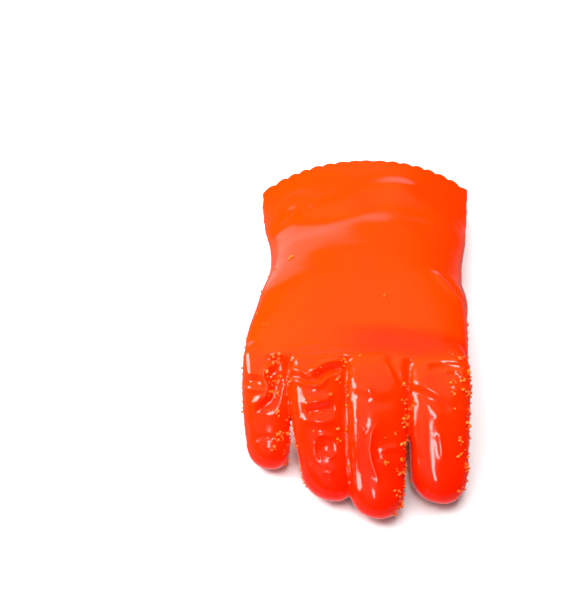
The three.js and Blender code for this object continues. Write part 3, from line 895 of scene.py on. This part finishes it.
palmCrumbs = gritCoat("palm_crumbs", shell, isPalm, 11)
print("palm crumbs", len(palmCrumbs.data.polygons))
fingerCrumbs = gritCoat("finger_crumbs", shell, isFinger, 12)
print("finger crumbs", len(fingerCrumbs.data.polygons))
thumbCrumbs = gritCoat("thumb_crumbs", shell, isThumb, 13)
print("thumb crumbs", len(thumbCrumbs.data.polygons))
strayCrumbs = looseCrumbs("stray_crumbs", shell, 14)
print("stray crumbs", len(strayCrumbs.data.polygons))

# the shell gets its inside, its rim and its smooth shading once the crumbs are laid on it
applyModifier(shell, "BOOLEAN", object=inner, operation="DIFFERENCE", solver="MANIFOLD")
bpy.data.objects.remove(inner)
trimRim(shell)
coarserBelow(shell)
print("shell", len(shell.data.vertices), len(shell.data.polygons))
makeActive(shell)
bpy.ops.object.shade_smooth_by_angle(angle=math.radians(glove["sharpest"]))


def addNode(tree, kind, settings=None, inputs=None, links=None):
    # one shader node with its settings, its socket values and the links that feed it
    node = tree.nodes.new("ShaderNode" + kind)
    for key, value in (settings or {}).items():
        setattr(node, key, value)
    for key, value in (inputs or {}).items():
        node.inputs[key].default_value = value
    for key, source in (links or {}).items():
        tree.links.new(source, node.inputs[key])
    return node


def newMaterial(name):
    material = bpy.data.materials.new(name)
    material.use_nodes = True
    material.node_tree.nodes.clear()
    return material, material.node_tree


colours = {
    "orange": "F43400",
    # darker orange of the painted shade on the fingers and over the knuckles
    "shadedOrange": "F01A00",
    "crumbDark": "DE3C00",
    "crumb": "FC6204",
    "crumbPale": "FF8014",
    "floor": "E5E5E7",
    "backdrop": "F7F8FA",
    "room": "FBFCFF",
}


def finished(material, tree, place, ramp, finish):
    # the grain's relief and the gloss over a ramp's colours
    grain = addNode(tree, "TexNoise", {}, {"Scale": 1 / finish["grain"], "Detail": finish["detail"]},
                    {"Vector": place})
    bump = addNode(tree, "Bump", {}, {"Strength": finish["relief"], "Distance": finish["grainHeight"]},
                   {"Height": grain.outputs["Fac"]})
    shader = addNode(tree, "BsdfPrincipled", {}, {"Roughness": finish["roughness"], "IOR": finish["ior"]},
                     {"Base Color": ramp.outputs["Color"], "Normal": bump.outputs["Normal"]})
    addNode(tree, "OutputMaterial", {}, {}, {"Surface": shader.outputs["BSDF"]})
    return material


# Dipped plasticised PVC: a thick glossy orange skin that gives broad pinkish highlights with soft edges.
dipped = {
    "roughness": 0.13,
    "ior": 1.44,     # plasticised, a little below rigid PVC
    "cloud": 0.045,  # m between soft clouds of the pigment
    "cloudiness": 0.16,
    "fingerShadeFrom": -0.12,  # y where the painted shade on the fingers is full, and where it ends
    "fingerShadeTo": -0.055,
    "shadeBandAt": -0.0505,           # y of a band of painted shade over the knuckles of the middle and index fingers
    "shadeBandHalf": (0.014, 0.004),  # half its width, at its edge and where it is full
    "shadeBandStrength": 0.62,
    "shadeBandStart": (-0.025, 0.012),  # x over which it sets in
    "grain": 0.009,                # m between the faint swells of a dipped skin
    "grainHeight": 0.0004,
    "detail": 1.0,
    "relief": 0.25,
}


def dippedPvc():
    material, tree = newMaterial("dipped_pvc")
    place = addNode(tree, "TexCoord").outputs["Object"]
    parts = addNode(tree, "SeparateXYZ", {}, {}, {"Vector": place})
    across, along = parts.outputs["X"], parts.outputs["Y"]
    pigment = addNode(tree, "TexNoise", {}, {"Scale": 1 / dipped["cloud"], "Detail": 2.0},
                      {"Vector": place})
    # painted shade: the fingers' orange is darker than the back's, darkest towards the tips, for the less
    # light that their slopes get
    depth = addNode(tree, "MapRange", {},
                    {"From Min": dipped["fingerShadeFrom"], "From Max": dipped["fingerShadeTo"]}, {"Value": along})
    cloud = addNode(tree, "Math", {"operation": "MULTIPLY_ADD"},
                    {1: dipped["cloudiness"], 2: -dipped["cloudiness"] / 2}, {0: pigment.outputs["Fac"]})
    shadeAndCloud = addNode(tree, "Math", {"operation": "ADD", "use_clamp": True}, {},
                      {0: depth.outputs["Result"], 1: cloud.outputs["Value"]})
    # painted shade: a darker band over the knuckles of the middle and index fingers, taken off the ramp's
    # share
    off = addNode(tree, "Math", {"operation": "ADD"}, {1: -dipped["shadeBandAt"]}, {0: along})
    far = addNode(tree, "Math", {"operation": "ABSOLUTE"}, {}, {0: off.outputs["Value"]})
    edge, full = dipped["shadeBandHalf"]
    band = addNode(tree, "MapRange", {"interpolation_type": "SMOOTHSTEP"},
                   {"From Min": edge, "From Max": full, "To Min": 0.0, "To Max": dipped["shadeBandStrength"]},
                   {"Value": far.outputs["Value"]})
    start, end = dipped["shadeBandStart"]
    right = addNode(tree, "MapRange", {"interpolation_type": "SMOOTHSTEP"},
                    {"From Min": start, "From Max": end}, {"Value": across})
    knuckles = addNode(tree, "Math", {"operation": "MULTIPLY"}, {},
                       {0: band.outputs["Result"], 1: right.outputs["Result"]})
    pale = addNode(tree, "Math", {"operation": "SUBTRACT", "use_clamp": True}, {},
                   {0: shadeAndCloud.outputs["Value"], 1: knuckles.outputs["Value"]})
    ramp = addNode(tree, "ValToRGB", {}, {}, {"Fac": pale.outputs["Value"]})
    # the ramp's dark end is the painted shade's orange, its pale end the lit back's
    ramp.color_ramp.elements[0].color = (*srgb(colours["shadedOrange"]), 1)
    ramp.color_ramp.elements[1].color = (*srgb(colours["orange"]), 1)
    return finished(material, tree, place, ramp, dipped)


# PVC crumb, ground from the same stuff and bonded on: matt broken faces, paler than the dipped skin.
ground = {
    "roughness": 0.42,
    "ior": 1.5,
    "shade": 0.0018,  # m, so that most crumbs have a shade of their own
    "middle": 0.55,   # place of the middle orange between the dark and the pale one
    "grain": 0.0006,  # m between pores, coarser than the real ones so that they show
    "grainHeight": 0.0002,
    "detail": 2.0,
    "relief": 0.5,
}


def crumbPvc():
    material, tree = newMaterial("ground_pvc_crumb")
    place = addNode(tree, "TexCoord").outputs["Object"]
    shade = addNode(tree, "TexVoronoi", {"feature": "F1"}, {"Scale": 1 / ground["shade"]},
                    {"Vector": place})
    value = addNode(tree, "SeparateColor", {}, {}, {"Color": shade.outputs["Color"]})
    ramp = addNode(tree, "ValToRGB", {}, {}, {"Fac": value.outputs["Red"]})
    ramp.color_ramp.elements[0].color = (*srgb(colours["crumbDark"]), 1)
    ramp.color_ramp.elements[1].color = (*srgb(colours["crumbPale"]), 1)
    middle = ramp.color_ramp.elements.new(ground["middle"])
    middle.color = (*srgb(colours["crumb"]), 1)
    return finished(material, tree, place, ramp, ground)


crumbMaterial = crumbPvc()
for piece, nodes in [(palmCrumbs, ["palm_grip_coat"]), (fingerCrumbs, ["palm_grip_coat"]),
                     (thumbCrumbs, ["thumb_grip_coat"]), (strayCrumbs, [])]:
    piece.data.materials.clear()
    piece.data.materials.append(crumbMaterial)
    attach(piece, "root")
    if nodes:    # the loose crumbs stand for no node
        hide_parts(*nodes)

shell.data.materials.clear()
shell.data.materials.append(dippedPvc())
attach(shell, "root")
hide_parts("hand_shell", "little_finger_shell", "ring_finger_shell", "middle_finger_shell",
            "index_finger_shell", "thumb_shell")


# Camera, floor and lights
view = {
    "place": (-0.0062, -0.5795, 0.5227),
    "pitch": 50.0,  # degrees up from straight down, so the camera looks 40 degrees down
    "turn": 3.5,
    "lens": 79.47,
    "sensor": 36.0,
}
turned = (math.radians(view["pitch"]), 0, math.radians(view["turn"]))
bpy.ops.object.camera_add(location=view["place"], rotation=turned)
camera = bpy.context.object
camera.data.lens = view["lens"]
camera.data.sensor_width = view["sensor"]
bpy.context.scene.camera = camera

floorSize = 2.8      # m
bpy.ops.mesh.primitive_plane_add(size=floorSize, location=(0, 0, 0))
floor = bpy.context.object
floor.name = "floor"
material, tree = newMaterial("pale_floor")
shader = addNode(tree, "BsdfPrincipled", {},
                 {"Base Color": (*srgb(colours["floor"]), 1), "Roughness": 0.6})
addNode(tree, "OutputMaterial", {}, {}, {"Surface": shader.outputs["BSDF"]})
floor.data.materials.append(material)
floor.visible_glossy = False    # its glare would wash out the glove's sides

# a pale dome that the camera alone sees, so that low views have no dark horizon
bpy.ops.mesh.primitive_uv_sphere_add(segments=48, ring_count=24, radius=floorSize / 2)
dome = bpy.context.object
dome.name = "backdrop"
material, tree = newMaterial("pale_backdrop")
glowing = addNode(tree, "Emission", {}, {"Color": (*srgb(colours["backdrop"]), 1), "Strength": 1.0})
addNode(tree, "OutputMaterial", {}, {}, {"Surface": glowing.outputs["Emission"]})
dome.data.materials.append(material)
dome.visible_diffuse = False
dome.visible_glossy = False
dome.visible_transmission = False
dome.visible_shadow = False


def softbox(name, place, aim, size, power, glossy=True):
    # metres and watts; a lamp that isn't glossy lights the glove without a highlight
    bpy.ops.object.light_add(type="AREA", location=place)
    lamp = bpy.context.object
    lamp.name = name
    lamp.data.shape = "RECTANGLE"
    lamp.data.size, lamp.data.size_y = size
    lamp.data.energy = power
    lamp.rotation_euler = (Vector(aim) - Vector(place)).to_track_quat("-Z", "Y").to_euler()
    lamp.visible_glossy = glossy


softbox("key_top", (-0.4, 0.65, 1.6), (0, 0, 0), (3.6, 2.6), 118, glossy=False)
softbox("front_fill", (-0.6, -1.3, 1.3), (0, 0, 0), (2.0, 1.2), 12, glossy=False)
softbox("left_box", (-0.9, 0.05, 0.6), (0, -0.05, 0.02), (0.55, 0.55), 13)
softbox("front_strip", (0.03, -0.45, 1.15), (0, -0.08, 0.02), (0.14, 0.4), 3.4)

# The room that the glove mirrors: a pale wall low behind it, a dim floor below and dark elsewhere.
room = {
    "wallTop": (0.14, 0.34),   # heights of the direction between which the wall fades out
    "wallGlow": (0.5, 0.002),  # strength on the wall and above it
    "lean": -0.1,              # how far the wall reaches round to the left
    "wallSides": (0.95, 0.86),
    "floorFade": -0.3,
    "floorGlow": 0.2,
}
world = bpy.data.worlds.new("studio")
bpy.context.scene.world = world
world.use_nodes = True
tree = world.node_tree
tree.nodes.clear()
direction = addNode(tree, "TexCoord").outputs["Generated"]
parts = addNode(tree, "SeparateXYZ", {}, {}, {"Vector": direction})
backward = addNode(tree, "Math", {"operation": "MULTIPLY_ADD"}, {1: room["lean"]},
                   {0: parts.outputs["X"], 2: parts.outputs["Y"]})
aside = addNode(tree, "MapRange", {},
                {"From Min": room["wallSides"][0], "From Max": room["wallSides"][1]},
                {"Value": backward.outputs["Value"]})
height = addNode(tree, "Math", {"operation": "ADD"}, {},
                 {0: parts.outputs["Z"], 1: aside.outputs["Result"]})
wall = addNode(tree, "MapRange", {"interpolation_type": "SMOOTHSTEP"},
               {"From Min": room["wallTop"][0], "From Max": room["wallTop"][1],
                "To Min": room["wallGlow"][0], "To Max": room["wallGlow"][1]},
               {"Value": height.outputs["Value"]})
below = addNode(tree, "MapRange", {"interpolation_type": "SMOOTHSTEP"},
                {"From Min": 0.0, "From Max": room["floorFade"], "To Min": 0.0, "To Max": room["floorGlow"]},
                {"Value": parts.outputs["Z"]})
glow = addNode(tree, "Math", {"operation": "ADD"}, {},
               {0: wall.outputs["Result"], 1: below.outputs["Result"]})
background = addNode(tree, "Background", {}, {"Color": (*srgb(colours["room"]), 1)},
                     {"Strength": glow.outputs["Value"]})
addNode(tree, "OutputWorld", {}, {}, {"Surface": background.outputs["Background"]})

bpy.context.scene.view_settings.view_transform = "Standard"
bpy.context.scene.view_settings.look = "None"
